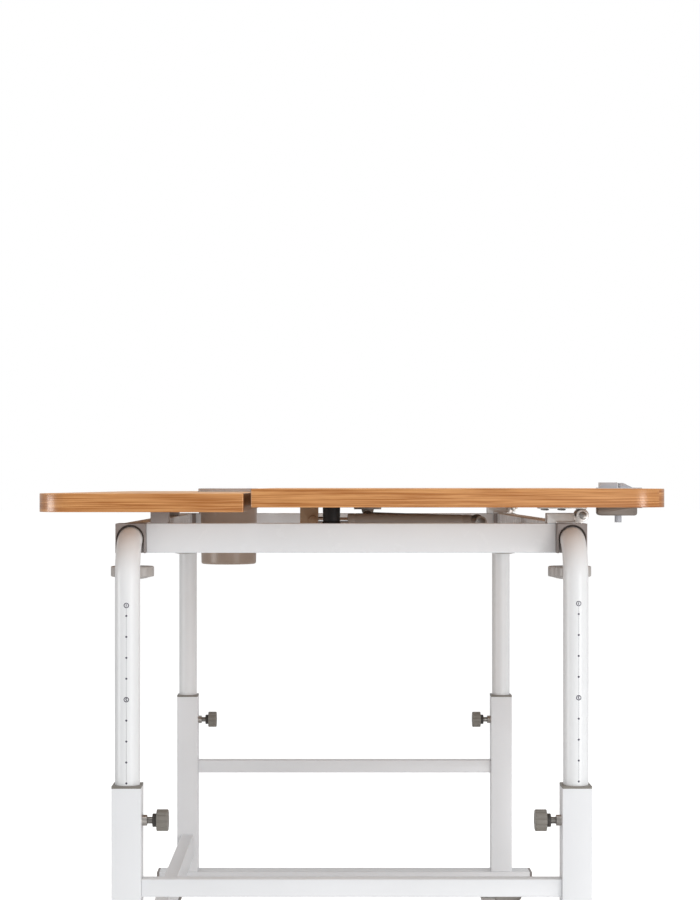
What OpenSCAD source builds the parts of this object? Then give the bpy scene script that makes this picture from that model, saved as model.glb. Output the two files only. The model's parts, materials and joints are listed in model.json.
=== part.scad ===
// Height adjustable desk with a tilting work top, a fixed rear shelf and castors.
// X runs along the width, -Y faces the user, Z is up. The floor is Z = 0.

/* [Top] */
// Width of both top boards, side to side
desk_w = 1200; // [1000:10:1400]
// Depth over both top boards, front to back
desk_d = 739; // [700:1:800]
// Height of the tilting board's upper face above the floor
desk_h = 761.5; // [740:0.5:800]
// Thickness of both boards
board_t = 22; // [18:0.5:25]
// Depth of the fixed rear shelf
shelf_d = 243; // [225:1:250]
// Gap between the tilting board and the shelf
top_gap = 8; // [4:1:12]
// Step from the tilting board down to the shelf
shelf_drop = 5.5; // [2:0.5:7]
// Plan radius of the tilting board's front corners
front_corner_r = 40; // [15:5:60]
// Plan radius of the shelf's rear corners
rear_corner_r = 40; // [15:1:60]

/* [Legs] */
// Outer diameter of the bent leg tubes
leg_d = 30; // [28:1:31]
// Wall of the leg tubes
leg_wall = 1.5; // [1:0.5:3]
// Distance from the desk's side to the leg axis
leg_inset = 64; // [50:2:90]
// Distance from the desk's front and rear edges to the leg axes
leg_setback = 101.5; // [85:0.5:115]
// Centre line radius of the bend at the top of a leg
bend_r = 45; // [40:1:60]
// Length of a leg from the arm axis down to its open end
leg_len = 390; // [340:10:440]
// Outer width of the square sleeves
sleeve_w = 35; // [35:1:44]
// Wall of the square sleeves
sleeve_wall = 1.2; // [0.8:0.1:1.3]
// Height of the sleeve's top edge above the floor
sleeve_top = 405; // [385:5:410]
// Thickness of the grey cap on a sleeve
cap_t = 3; // [2:1:8]
// Depth of the cap's collar inside the sleeve
cap_collar = 20; // [12:2:24]
// Radial clearance between a leg tube and its cap
leg_clear = 0.3; // [0.2:0.05:0.4]

/* [Frame] */
// Height of the side and long rails
rail_h = 36; // [30:1:40]
// Width of the side and long rails
rail_w = 25; // [20:1:30]
// Wall of the side and long rails
rail_wall = 2; // [1.5:0.5:3]
// Edge of the cubic corner blocks
block_s = 36; // [36:1:42]
// Wall left behind the arm in a corner block
block_wall = 3; // [2:0.5:5]
// Length of the slotted lip that a corner block has round the bend
block_lip = 12; // [6:1:16]
// Height of the spacers between the rails and the shelf
spacer_h = 15; // [12:0.5:20]
// Depth of a shelf spacer along the rail
spacer_d = 22; // [16:1:30]
// Distance of the rear spacers from the middle of the desk
rear_spacer_x = 150; // [100:10:300]
// Base diameter of the rubber bumpers
bumper_d = 23; // [16:1:25]
// Tip diameter of the rubber bumpers
bumper_tip_d = 21.5; // [16:0.5:24]
// Place of the bumpers along the side rails
bumper_y = 24; // [0:2:60]
// Width of the channel that carries the lift mechanism
channel_w = 72; // [72:2:90]
// Height of the channel's sides
channel_h = 16; // [10:1:20]
// Sheet thickness of the channel
channel_t = 2; // [1.5:0.5:3]

/* [Base] */
// Overall height of a castor
castor_h = 72; // [70:1:80]
// Height of the foot bars
foot_h = 35; // [30:1:40]
// Width of the foot bars
foot_w = 40; // [40:1:50]
// Distance from a leg axis to the nearer end of its foot bar
foot_out = 48; // [44:1:70]
// Wall of the foot bars
foot_wall = 2; // [1.5:0.5:3]
// Thickness of a foot end cap
foot_cap_t = 4; // [2:1:8]
// Height of the side stretchers
stretcher_h = 21; // [16:1:26]
// Thickness of the side stretchers
stretcher_t = 20; // [14:1:26]
// Height of the side stretchers' underside above the floor
stretcher_z = 275; // [240:5:300]
// Height of the rear beam's section
beam_h = 40; // [30:2:60]
// Thickness of the rear beam
beam_t = 20; // [16:1:30]
// Height of the rear beam's underside above the floor
beam_z = 130; // [115:5:200]
// Distance from a leg axis out to the castor's axis
castor_out = 22; // [12:1:26]
// Diameter of a castor wheel
wheel_d = 50; // [44:1:52]
// Width of a castor wheel
wheel_w = 20; // [14:1:22]
// Offset of the wheel axle from the swivel axis
trail = 18; // [12:1:22]
// Side gap between a wheel and its fork
wheel_gap = 0.6; // [0.4:0.1:1]
// Diameter of the wheel axle
axle_d = 8; // [5:0.5:10]
// Diameter of the swivel stem
stem_d = 10; // [8:0.5:12]

/* [Knobs] */
// Diameter of the hand knobs under the corners
corner_knob_d = 53; // [40:1:56]
// Thickness of the hand knobs under the corners
corner_knob_t = 16; // [10:1:20]
// Length of free stem between a corner block and its knob
corner_stem = 16.5; // [10:0.5:20]
// Diameter of the corner knob's screw
corner_screw_d = 12; // [8:0.5:14]
// Diameter of a sleeve knob's fluted head
sleeve_knob_d = 26; // [20:1:32]
// Height of the sleeve knobs' axis above the floor
sleeve_knob_z = 365; // [345:5:370]
// Diameter of the sleeve knob's screw
sleeve_screw_d = 8; // [6:0.5:9]
// Diameter of the nut welded to the sleeve
nut_d = 13; // [12:0.5:16]
// Length of the nut welded to the sleeve
nut_t = 6; // [4:0.5:8]

/* [Tilt mechanism] */
// Distance of the hinge axis behind the board's front edge
hinge_in = 87.5; // [86.5:0.5:89.5]
// Distance of the hinge axis below the board
hinge_drop = 10.5; // [10.5:0.5:11]
// Sheet thickness of the hinge leaves
leaf_t = 2.5; // [2:0.25:2.5]
// Outer radius of the hinge knuckles
knuckle_r = 7.5; // [6:0.25:7.5]
// Length of a hinge leaf, front to back
leaf_len = 57; // [50:1:70]
// Length of the hinge's silver body behind the knuckles
hinge_body = 33; // [24:1:36]
// Height of the hinge's silver body
hinge_body_h = 12.5; // [8:0.5:12.5]
// Diameter of the hinge pins
hinge_pin_d = 6; // [4:0.5:7]
// Largest tilt of the work top, in degrees
tilt_max = 60; // [40:5:60]
// Distance of the gas spring's upper pivot from the board's rear edge
gas_lug_in = 68.5; // [60:0.5:78]
// Distance of the gas spring's upper pivot below the board
gas_lug_drop = 23.5; // [21:0.5:25]
// Length of the gas spring's upper lug behind its pivot
gas_lug_rear = 18.5; // [10:0.5:22]
// Distance of the gas spring's lower pivot behind the hinge axis
gas_base_in = 89; // [82:1:96]
// Distance of the gas spring's lower pivot below the board
gas_base_drop = 26.5; // [24:0.5:28]
// Diameter of the gas spring's cylinder
gas_cyl_d = 20; // [16:1:22]
// Distance from the cylinder's mouth to the upper pivot with the board flat
rod_out = 50; // [44:1:60]
// Diameter of the gas spring's rod
gas_rod_d = 8; // [6:0.5:10]
// Distance from the gas spring's upper pivot forward to the stay's pivot on the board
stay_board_in = 80; // [76:1:84]
// Distance of the stay's board pivot below the board
stay_board_drop = 20; // [18:0.5:22]
// Distance from the stay's pivot on the board forward to its pivot on the frame
stay_base_in = 20; // [16:1:24]
// Distance of the stay's frame pivot below the board
stay_base_drop = 30; // [28:0.5:32]
// Upper link of the stay as a share of the distance from the hinge to the stay's pivot on the board
stay_share = 0.635; // [0.62:0.005:0.65]
// How much shorter the stay's lower link is than its upper link
stay_short = 20; // [16:1:21]
// Width of the stay links
link_w = 18; // [14:1:20]
// Thickness of the stay links and of the bracket sheets
link_t = 3; // [2:0.5:4]
// Diameter of the bolts in the gas spring and the stay
bolt_d = 8; // [6:0.5:10]

/* [Cup and stop] */
// Outer diameter of the cup at its foot
cup_d = 85; // [60:1:87]
// Outer diameter of the cup below its flange
cup_top_d = 88.5; // [85:0.5:91]
// Outer diameter of the cup's flange
cup_flange_d = 96; // [92:1:110]
// Depth of the cup below the shelf's upper face
cup_depth = 112; // [80:1:130]
// Wall of the cup
cup_wall = 2.5; // [1.5:0.5:4]
// Depth of the rebates that hold the cup's flange and the stop's bezel
rebate = 1; // [0.5:0.25:2]
// Height of the cup's flange above the shelf
cup_rim = 5.5; // [3:0.5:8]
// Place of the cup along X
cup_x = 207; // [170:1:300]
// Distance of the cup's axis behind the shelf's front edge
cup_in = 56; // [54:1:80]
// Distance of the stop's middle behind the board's front edge
stop_in = 54.5; // [51:0.5:58]
// Height of the stop above the board when it is raised
stop_h = 7.5; // [6:0.5:12]
// Travel of the stop when it is pushed down
stop_travel = 6; // [3:0.5:6]
// Width of the stop along the board's front edge
stop_w = 18; // [14:1:32]
// Depth of the stop, front to back
stop_d = 21; // [16:1:24]
// Diameter of the stop's stem
stop_stem_d = 8.5; // [6:0.5:9]

/* [Hidden] */
$fn = 64;
// Cutting allowance, so that no cut ends flush with a face
eps = 1;
// Gap between seated plastic or rubber and what it faces
seat = 0.3;
// Diametral play of a bolt or pin in its hole
pin_play = 0.2;

// Heights, from the top down
board_z = desk_h - board_t;
shelf_top = desk_h - shelf_drop;
shelf_z = shelf_top - board_t;
rail_top = shelf_z - spacer_h;
rail_z = rail_top - rail_h;
arm_z = rail_top - rail_h / 2;
block_top = arm_z + block_s / 2;
block_z = arm_z - block_s / 2;
foot_top = castor_h + foot_h;

// Places in plan
leg_x = desk_w / 2 - leg_inset;
leg_y = desk_d / 2 - leg_setback;
leg_span = 2 * leg_y;
foot_len = 2 * (leg_y + foot_out);
block_x = leg_x - bend_r - block_s / 2;
castor_y = leg_y + castor_out;
front_y = -desk_d / 2;
rear_y = desk_d / 2;
shelf_y = rear_y - shelf_d;
tilt_d = desk_d - shelf_d - top_gap;
spacer_y = leg_y - block_s / 2 - spacer_d / 2 - 5;
cup_y = shelf_y + cup_in;

// Hinge and linkage, as [y, z] points with the board flat
hinge = [front_y + hinge_in, board_z - hinge_drop];
gas_a = [shelf_y - top_gap - gas_lug_in, board_z - gas_lug_drop];
gas_f = [hinge[0] + gas_base_in, board_z - gas_base_drop];
stay_b = [gas_a[0] - stay_board_in, board_z - stay_board_drop];
stay_g = [stay_b[0] - stay_base_in, board_z - stay_base_drop];
stay_upper = stay_share * (stay_b[0] - hinge[0]);
stay_lower = stay_upper - stay_short;
function angle_of(a, b) = atan2(b[1] - a[1], b[0] - a[0]);
function turned(p, c, t) = c + [(p[0] - c[0]) * cos(t) - (p[1] - c[1]) * sin(t),
                                (p[0] - c[0]) * sin(t) + (p[1] - c[1]) * cos(t)];
// The stay's elbow lies in front of both of its pivots
function elbow(g, b, l2, l1) =
  let (d = norm(b - g), a = (l2 * l2 - l1 * l1 + d * d) / (2 * d), h = sqrt(l2 * l2 - a * a), u = (b - g) / d,
       p = g + a * u + h * [-u[1], u[0]], q = g + a * u - h * [-u[1], u[0]]) p[0] < q[0] ? p : q;
stay_e = elbow(stay_g, stay_b, stay_lower, stay_upper);
gas_len = norm(gas_a - gas_f);
gas_rest = angle_of(gas_f, gas_a);
gas_a_max = turned(gas_a, hinge, tilt_max);
stay_b_max = turned(stay_b, hinge, tilt_max);
stay_e_max = elbow(stay_g, stay_b_max, stay_lower, stay_upper);
function wrapped(t) = atan2(sin(t), cos(t));
// Followers of the tilt: how far each turns or slides while the board goes from flat to its largest tilt
gas_turn = angle_of(gas_f, gas_a_max) - gas_rest;
gas_stroke = norm(gas_a_max - gas_f) - gas_len;
gas_cyl_len = gas_len - rod_out;
lower_turn = wrapped(angle_of(stay_g, stay_e_max) - angle_of(stay_g, stay_e));
upper_turn = wrapped(angle_of(stay_b_max, stay_e_max) - tilt_max - angle_of(stay_b, stay_e));
echo(gas_turn = gas_turn, gas_stroke = gas_stroke, lower_turn = lower_turn, upper_turn = upper_turn);
echo(hinge = hinge, gas_a = gas_a, gas_f = gas_f, stay_b = stay_b, stay_g = stay_g, stay_e = stay_e);

// Planes of the mechanism along X
gas_x = -17;
gas_eye_w = 10;
stay_plate_x = 10;
stay_low_x = stay_plate_x + link_t + seat;
stay_up_x = stay_low_x + link_t + 6;
stay_lug_x = stay_up_x + link_t + seat;
eye_d = bolt_d + 8;

white_paint = "whitesmoke";
satin_grey = "gainsboro";
block_grey = [0.65, 0.61, 0.59];
knob_grey = [0.49, 0.47, 0.44];
zinc = [0.72, 0.71, 0.69];
wood = [0.80, 0.56, 0.34];
rubber = [0.12, 0.12, 0.12];

// Box between two corners
module span(a, b) { translate(a) cube(b - a); }

// Round bar along X, centred on x
module bar_x(x, y, z, d, l) { translate([x - l / 2, y, z]) rotate([0, 90, 0]) cylinder(d = d, h = l); }

// Flat bar in the Y-Z plane from p to q, w wide, with round ends and a slightly waisted shank, from x to x + t
module link_bar(p, q, w, x, t) {
  l = norm(q - p);
  inset = min(w / 4, l / 10);
  translate([x, p[0], p[1]]) rotate([angle_of(p, q), 0, 0]) {
    for (y = [0, l]) translate([0, y, 0]) rotate([0, 90, 0]) cylinder(d = w, h = t);
    translate([0, inset, -0.4 * w]) cube([t, l - 2 * inset, 0.8 * w]);
  }
}

// Board outline with two rounded corners on the side given by dir (-1 front, 1 rear), y from 0 to d
module board_outline(w, d, r, dir) {
  translate([0, dir < 0 ? 0 : d]) mirror([0, dir < 0 ? 0 : 1]) {
    translate([-w / 2, r]) square([w, d - r]);
    translate([-w / 2 + r, 0]) square([w - 2 * r, r + 0.001]);
    for (s = [-1, 1]) translate([s * (w / 2 - r), r]) circle(r = r, $fn = 96);
  }
}

// Square tube along Z
module square_tube(w, t, h) {
  difference() {
    translate([-w / 2, -w / 2, 0]) cube([w, w, h]);
    translate([-w / 2 + t, -w / 2 + t, -eps]) cube([w - 2 * t, w - 2 * t, h + 2 * eps]);
  }
}

// Base

// Leg sleeve: square tube with a welded nut on the face towards the middle of the desk
module sleeve(sx, sy) {
  color(satin_grey) translate([sx * leg_x, sy * leg_y, 0]) difference() {
    union() {
      translate([0, 0, foot_top]) square_tube(sleeve_w, sleeve_wall, sleeve_top - foot_top);
      translate([0, -sy * sleeve_w / 2, sleeve_knob_z]) rotate([sy * 90, 0, 0]) cylinder(d = nut_d, h = nut_t);
    }
    translate([0, -sy * (sleeve_w / 2 - sleeve_wall - eps), sleeve_knob_z]) rotate([sy * 90, 0, 0])
      cylinder(d = sleeve_screw_d + pin_play, h = sleeve_wall + nut_t + 2 * eps);
  }
}

// Guide caps: a plate on the sleeve and a collar inside it, bored for the leg tube
module sleeve_caps() {
  inner = sleeve_w - 2 * sleeve_wall - 0.2;
  color(block_grey) for (sx = [-1, 1], sy = [-1, 1]) translate([sx * leg_x, sy * leg_y, 0]) difference() {
    union() {
      translate([-sleeve_w / 2, -sleeve_w / 2, sleeve_top]) cube([sleeve_w, sleeve_w, cap_t]);
      translate([-inner / 2, -inner / 2, sleeve_top - cap_collar]) cube([inner, inner, cap_collar + 0.01]);
    }
    translate([0, 0, sleeve_top - cap_collar - eps])
      cylinder(d = leg_d + 2 * leg_clear, h = cap_collar + cap_t + 2 * eps, $fn = 96);
  }
}

// Foot bar: closed-wall box section along Y, bored underneath for the castor sockets
module foot(sx) {
  color(satin_grey) translate([sx * leg_x, 0, castor_h]) difference() {
    translate([-foot_w / 2, -foot_len / 2, 0]) cube([foot_w, foot_len, foot_h]);
    translate([-foot_w / 2 + foot_wall, -foot_len / 2 - eps, foot_wall])
      cube([foot_w - 2 * foot_wall, foot_len + 2 * eps, foot_h - 2 * foot_wall]);
    for (sy = [-1, 1]) translate([0, sy * castor_y, -eps]) cylinder(d = socket_d + pin_play, h = foot_wall + 2 * eps);
  }
}
socket_d = stem_d + 6;

// End caps of the foot bars, with a plug inside the section
module foot_caps() {
  plug = [foot_w - 2 * foot_wall - 0.4, 10, foot_h - 2 * foot_wall - 0.4];
  color(block_grey) for (sx = [-1, 1], sy = [-1, 1])
    translate([sx * leg_x, sy * foot_len / 2, castor_h + foot_h / 2]) union() {
      translate([-foot_w / 2, sy < 0 ? -foot_cap_t : 0, -foot_h / 2]) cube([foot_w, foot_cap_t, foot_h]);
      translate([-plug[0] / 2, sy < 0 ? -0.01 : 0.01 - plug[1], -plug[2] / 2]) cube(plug);
    }
}

// Stretchers between the front and rear sleeves
module side_stretchers() {
  l = leg_span - sleeve_w;
  color(white_paint) for (sx = [-1, 1]) translate([sx * leg_x, 0, stretcher_z]) difference() {
    translate([-stretcher_t / 2, -l / 2, 0]) cube([stretcher_t, l, stretcher_h]);
    translate([-stretcher_t / 2 + rail_wall, -l / 2 - eps, rail_wall])
      cube([stretcher_t - 2 * rail_wall, l + 2 * eps, stretcher_h - 2 * rail_wall]);
  }
}

// Beam between the two rear sleeves
module rear_beam() {
  l = 2 * leg_x - sleeve_w;
  color(satin_grey) translate([0, leg_y, beam_z]) difference() {
    translate([-l / 2, -beam_t / 2, 0]) cube([l, beam_t, beam_h]);
    translate([-l / 2 - eps, -beam_t / 2 + rail_wall, rail_wall])
      cube([l + 2 * eps, beam_t - 2 * rail_wall, beam_h - 2 * rail_wall]);
  }
}

// Castors
socket_flange = 3;
socket_h = 22;
crown_z = castor_h - socket_flange - 0.4;
crown_t = 6;
fork_gap = wheel_w + 2 * wheel_gap;
fork_t = 3;
fork_neck = 31;
pedal_at = [trail + 8, wheel_d / 2 + fork_neck];

// Sockets pushed into the foot bars, one above each castor
module castor_sockets() {
  color(knob_grey) for (sx = [-1, 1], sy = [-1, 1]) translate([sx * leg_x, sy * castor_y, castor_h]) difference() {
    union() {
      translate([0, 0, -socket_flange]) cylinder(d = foot_w - 2, h = socket_flange);
      cylinder(d = socket_d, h = socket_h);
    }
    translate([0, 0, -socket_flange - eps]) cylinder(d = stem_d + pin_play, h = socket_flange + socket_h - 2 + eps);
  }
}

// Castor fork with its stem, the riveted axle and, on the braked pair, the pedal's pin
module castor_fork(sx, sy, braked) {
  color(zinc) translate([sx * leg_x, sy * castor_y, 0]) union() {
    translate([0, 0, crown_z - crown_t]) cylinder(d = foot_w - 4, h = crown_t);
    translate([0, 0, crown_z - 1]) cylinder(d = stem_d, h = socket_flange + socket_h - 3);
    for (s = [0, 1]) mirror([s, 0, 0]) {
      translate([fork_gap / 2, 0, wheel_d / 2]) rotate([90, 0, 90]) linear_extrude(fork_t) {
        translate([trail, 0]) circle(r = axle_d / 2 + 5);
        polygon([[trail - axle_d / 2 - 5, 0], [trail + axle_d / 2 + 5, 0], [trail + 13, fork_neck],
                 [trail + 13, crown_z - wheel_d / 2 - 1], [-12, crown_z - wheel_d / 2 - 1], [-12, crown_z - wheel_d / 2 - 8]]);
      }
    }
    bar_x(0, trail, wheel_d / 2, axle_d, fork_gap + 2 * fork_t + 3);
    if (braked) bar_x(0, pedal_at[0], pedal_at[1], 5, fork_gap + 2 * fork_t);
  }
}

// Wheel with a grooved hub
module castor_wheel(sx, sy) {
  r = wheel_d / 2;
  w = wheel_w / 2;
  color("dimgray") translate([sx * leg_x, sy * castor_y + trail, r]) rotate([0, 90, 0])
    rotate_extrude($fn = 96) polygon([
      [axle_d / 2 + pin_play / 2, -w], [axle_d / 2 + 4, -w], [axle_d / 2 + 5, -w + 2.5], [r - 6, -w + 2.5], [r - 5, -w + 0.5],
      [r - 2, -w + 0.5], [r, -w + 2.5], [r, w - 2.5], [r - 2, w - 0.5], [r - 5, w - 0.5], [r - 6, w - 2.5],
      [axle_d / 2 + 5, w - 2.5], [axle_d / 2 + 4, w], [axle_d / 2 + pin_play / 2, w]
    ]);
}

// Brake pedal: barrel on the fork's pin and a foot tongue behind it
module brake_pedal(sx) {
  color(knob_grey) translate([sx * leg_x, -castor_y, 0]) difference() {
    union() {
      bar_x(0, pedal_at[0], pedal_at[1], 10, fork_gap - 1);
      span([-fork_gap / 2 + 0.5, pedal_at[0], pedal_at[1] + 1], [fork_gap / 2 - 0.5, pedal_at[0] + 16, pedal_at[1] + 5]);
      span([-14, pedal_at[0] + 11, pedal_at[1] + 1], [14, pedal_at[0] + 30, pedal_at[1] + 5]);
      for (i = [0:2]) span([-12, pedal_at[0] + 15 + 5 * i, pedal_at[1] + 4.5], [12, pedal_at[0] + 17 + 5 * i, pedal_at[1] + 6]);
    }
    bar_x(0, pedal_at[0], pedal_at[1], 5.4, fork_gap + 2 * eps);
  }
}

// Sleeve knob: screw through the nut, collar and fluted head, along Y towards the middle of the desk
module sleeve_knob(sx, sy) {
  reach = sleeve_w / 2 - leg_d / 2 - seat;
  free = 6.5;
  collar_t = 5;
  head_t = 14;
  color(knob_grey) translate([sx * leg_x, sy * (leg_y - sleeve_w / 2), sleeve_knob_z]) rotate([sy * 90, 0, 0]) {
    translate([0, 0, -reach]) cylinder(d = sleeve_screw_d, h = reach + nut_t + free + 1);
    translate([0, 0, nut_t + free]) cylinder(d = 16, h = collar_t);
    translate([0, 0, nut_t + free + collar_t - 0.01]) difference() {
      cylinder(d = sleeve_knob_d, h = head_t);
      for (i = [0:8]) rotate([0, 0, 40 * i]) translate([sleeve_knob_d / 2 + 1.4, 0, -eps]) cylinder(r = 3, h = head_t + 2 * eps);
    }
  }
}

// Moving frame

// Path of a leg: straight leg, bend and arm, with the arm axis at z = 0 pointing to -X
module leg_path(d, over) {
  translate([0, 0, -leg_len - over]) cylinder(d = d, h = leg_len - bend_r + over, $fn = 96);
  translate([-bend_r, 0, -bend_r]) rotate([90, 0, 0]) rotate_extrude(angle = 90, $fn = 96)
    translate([bend_r, 0]) circle(d = d, $fn = 96);
  translate([-bend_r - arm_len - over, 0, 0]) rotate([0, 90, 0]) cylinder(d = d, h = arm_len + over, $fn = 96);
}
arm_len = block_s - block_wall - seat;

module leg(sx, sy) {
  color(white_paint) translate([sx * leg_x, sy * leg_y, arm_z]) mirror([sx < 0 ? 1 : 0, 0, 0]) difference() {
    leg_path(leg_d, 0);
    leg_path(leg_d - 2 * leg_wall, eps);
  }
}

// Corner blocks: bored for the arm, with a lip that is slotted downwards round the bend, open below for the knob's screw
module corner_blocks() {
  slot_w = leg_d + 3.4;
  slot_in = 6;
  color(block_grey) for (sx = [-1, 1], sy = [-1, 1])
    translate([sx * block_x, sy * leg_y, arm_z]) mirror([sx < 0 ? 1 : 0, 0, 0]) difference() {
      translate([-block_s / 2, -block_s / 2, -block_s / 2]) cube([block_s + block_lip, block_s, block_s]);
      translate([-block_s / 2 + block_wall, 0, 0]) rotate([0, 90, 0]) cylinder(d = leg_d + pin_play, h = block_s, $fn = 96);
      translate([block_s / 2 - slot_in, 0, 0]) rotate([0, 90, 0]) cylinder(d = slot_w, h = slot_in + block_lip + eps, $fn = 96);
      translate([block_s / 2 - slot_in, 0.2 - slot_w / 2, -block_s / 2 - eps])
        cube([slot_in + block_lip + eps, slot_w - 0.4, block_s / 2 + eps]);
      translate([0, 0, -block_s / 2 - eps]) cylinder(d = corner_screw_d + pin_play, h = block_s / 2);
    }
}

// Rail section along Y
module box_rail(l) {
  difference() {
    translate([-rail_w / 2, -l / 2, 0]) cube([rail_w, l, rail_h]);
    translate([-rail_w / 2 + rail_wall, -l / 2 - eps, rail_wall]) cube([rail_w - 2 * rail_wall, l + 2 * eps, rail_h - 2 * rail_wall]);
  }
}
module side_rail(sx) { color(white_paint) translate([sx * block_x, 0, rail_z]) box_rail(leg_span - block_s); }
module long_rail(sy) {
  color(white_paint) translate([0, sy * leg_y, rail_z]) rotate([0, 0, 90]) box_rail(2 * block_x - block_s);
}

// Channel between the long rails, open upwards
module channel() {
  l = leg_span - rail_w;
  color(satin_grey) translate([0, 0, rail_z]) difference() {
    translate([-channel_w / 2, -l / 2, 0]) cube([channel_w, l, channel_h]);
    translate([-channel_w / 2 + channel_t, -l / 2 - eps, channel_t]) cube([channel_w - 2 * channel_t, l + 2 * eps, channel_h]);
  }
}
floor_z = rail_z + channel_t;

// Ears round a pivot: two plates in the Y-Z plane between the pivot and the height of their base
module ears(x, gap, p, base_z) {
  for (s = [-1, 1]) translate([x + s * (gap / 2 + link_t / 2) - link_t / 2, 0, 0]) {
    translate([0, p[0], p[1]]) rotate([0, 90, 0]) cylinder(d = eye_d, h = link_t);
    span([0, p[0] - eye_d / 2, min(base_z, p[1])], [link_t, p[0] + eye_d / 2, max(base_z, p[1])]);
  }
}

// Lower bracket of the gas spring, on the channel's floor
module gas_bracket() {
  gap = gas_eye_w + 1;
  color(zinc) difference() {
    union() {
      ears(gas_x, gap, gas_f, floor_z);
      span([gas_x - gap / 2 - link_t, gas_f[0] - 22, floor_z], [gas_x + gap / 2 + link_t, gas_f[0] + 22, floor_z + link_t]);
    }
    bar_x(gas_x, gas_f[0], gas_f[1], bolt_d + pin_play, gap + 2 * link_t + 2 * eps);
  }
}

// Upright plate for the stay's lower link, on the channel's floor
module stay_bracket() {
  color(zinc) difference() {
    union() {
      link_bar([stay_g[0], floor_z + 9], stay_g, link_w, stay_plate_x, link_t);
      span([stay_plate_x, stay_g[0] - 18, floor_z], [stay_plate_x + link_t, stay_g[0] + 18, floor_z + 9]);
      span([stay_plate_x, stay_g[0] - 18, floor_z], [stay_plate_x + 20, stay_g[0] + 18, floor_z + link_t]);
    }
    bar_x(stay_plate_x + link_t / 2, stay_g[0], stay_g[1], bolt_d + pin_play, link_t + 2 * eps);
  }
}

// Headed bolt along X through a pivot, from x0 to x1
module headed_bolt(p, x0, x1) {
  translate([x0, p[0], p[1]]) rotate([0, 90, 0]) cylinder(d = bolt_d, h = x1 - x0);
  translate([x0 - 3, p[0], p[1]]) rotate([0, 90, 0]) cylinder(d = bolt_d + 5, h = 3.01, $fn = 6);
  translate([x1 - 0.01, p[0], p[1]]) rotate([0, 90, 0]) cylinder(d = bolt_d + 4, h = 2.5);
}

// Bolts of the two frame pivots
module frame_pins() {
  half = gas_eye_w / 2 + 0.5 + link_t;
  color("silver") {
    headed_bolt(gas_f, gas_x - half, gas_x + half);
    headed_bolt(stay_g, stay_plate_x, stay_low_x + link_t + seat);
  }
}

// Rubber bumpers that the lowered board rests on
module bumpers() {
  h = board_z - rail_top - seat;
  color(rubber) for (sx = [-1, 1]) translate([sx * block_x, bumper_y, rail_top]) {
    cylinder(d = bumper_d, h = 2);
    cylinder(d1 = bumper_d - 2, d2 = bumper_tip_d, h = h);
  }
}

// Spacers that carry the shelf on the side rails and on the rear rail
module shelf_spacers() {
  color(block_grey) {
    for (sx = [-1, 1]) {
      translate([sx * block_x - rail_w / 2, spacer_y - spacer_d / 2, rail_top]) cube([rail_w, spacer_d, spacer_h]);
      translate([sx * rear_spacer_x - spacer_d / 2, leg_y - rail_w / 2, rail_top]) cube([spacer_d, 0.6 * rail_w, spacer_h]);
    }
  }
}

// Fixed rear shelf with the cup's hole
module shelf() {
  color(wood) difference() {
    translate([0, shelf_y, shelf_z]) linear_extrude(board_t) board_outline(desk_w, shelf_d, rear_corner_r, 1);
    translate([cup_x, cup_y, shelf_z - eps]) cylinder(d = cup_top_d + 1, h = board_t + 2 * eps, $fn = 96);
    translate([cup_x, cup_y, shelf_top - rebate]) cylinder(d = cup_flange_d + 1, h = rebate + eps, $fn = 96);
  }
}

// Hinge: the base has the two outer knuckles and a body behind them, the leaf has the middle knuckle
hinge_w = block_s;
hinge_mid = 13;
hinge_side = (hinge_w - hinge_mid) / 2 - 0.4;

module hinge_bases() {
  back = -leg_y + block_s / 2;
  body_w = 28;
  color(zinc) for (sx = [-1, 1]) translate([sx * block_x, 0, 0]) difference() {
    union() {
      span([-hinge_w / 2, hinge[0] + knuckle_r + 1, block_top], [hinge_w / 2, back, block_top + leaf_t]);
      span([-body_w / 2, hinge[0] + knuckle_r + 2, block_top], [body_w / 2, hinge[0] + knuckle_r + 2 + hinge_body, block_top + hinge_body_h]);
      for (s = [-1, 1]) translate([s * (hinge_w / 2 - hinge_side / 2), 0, 0]) {
        bar_x(0, hinge[0], hinge[1], 2 * knuckle_r, hinge_side);
        span([-hinge_side / 2, hinge[0], block_top], [hinge_side / 2, hinge[0] + knuckle_r + 2, hinge[1] - 1]);
      }
    }
    bar_x(0, hinge[0], hinge[1], hinge_pin_d + pin_play, hinge_w + 2 * eps);
  }
}
module hinge_pins() {
  color("silver") for (sx = [-1, 1]) {
    bar_x(sx * block_x, hinge[0], hinge[1], hinge_pin_d, hinge_w);
    for (s = [-1, 1]) bar_x(sx * block_x + s * (hinge_w / 2 + 0.8), hinge[0], hinge[1], hinge_pin_d + 3, 1.6);
  }
}
module hinge_leaves() {
  color(zinc) for (sx = [-1, 1]) translate([sx * block_x, 0, 0]) difference() {
    union() {
      span([-hinge_w / 2, hinge[0] - 5, board_z - leaf_t], [hinge_w / 2, hinge[0] - 5 + leaf_len, board_z]);
      bar_x(0, hinge[0], hinge[1], 2 * knuckle_r, hinge_mid);
      span([-hinge_mid / 2, hinge[0] - knuckle_r + 2, hinge[1] + 4], [hinge_mid / 2, hinge[0] + knuckle_r - 2, board_z - leaf_t + 0.01]);
    }
    bar_x(0, hinge[0], hinge[1], hinge_pin_d + pin_play, hinge_mid + 2 * eps);
  }
}

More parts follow.
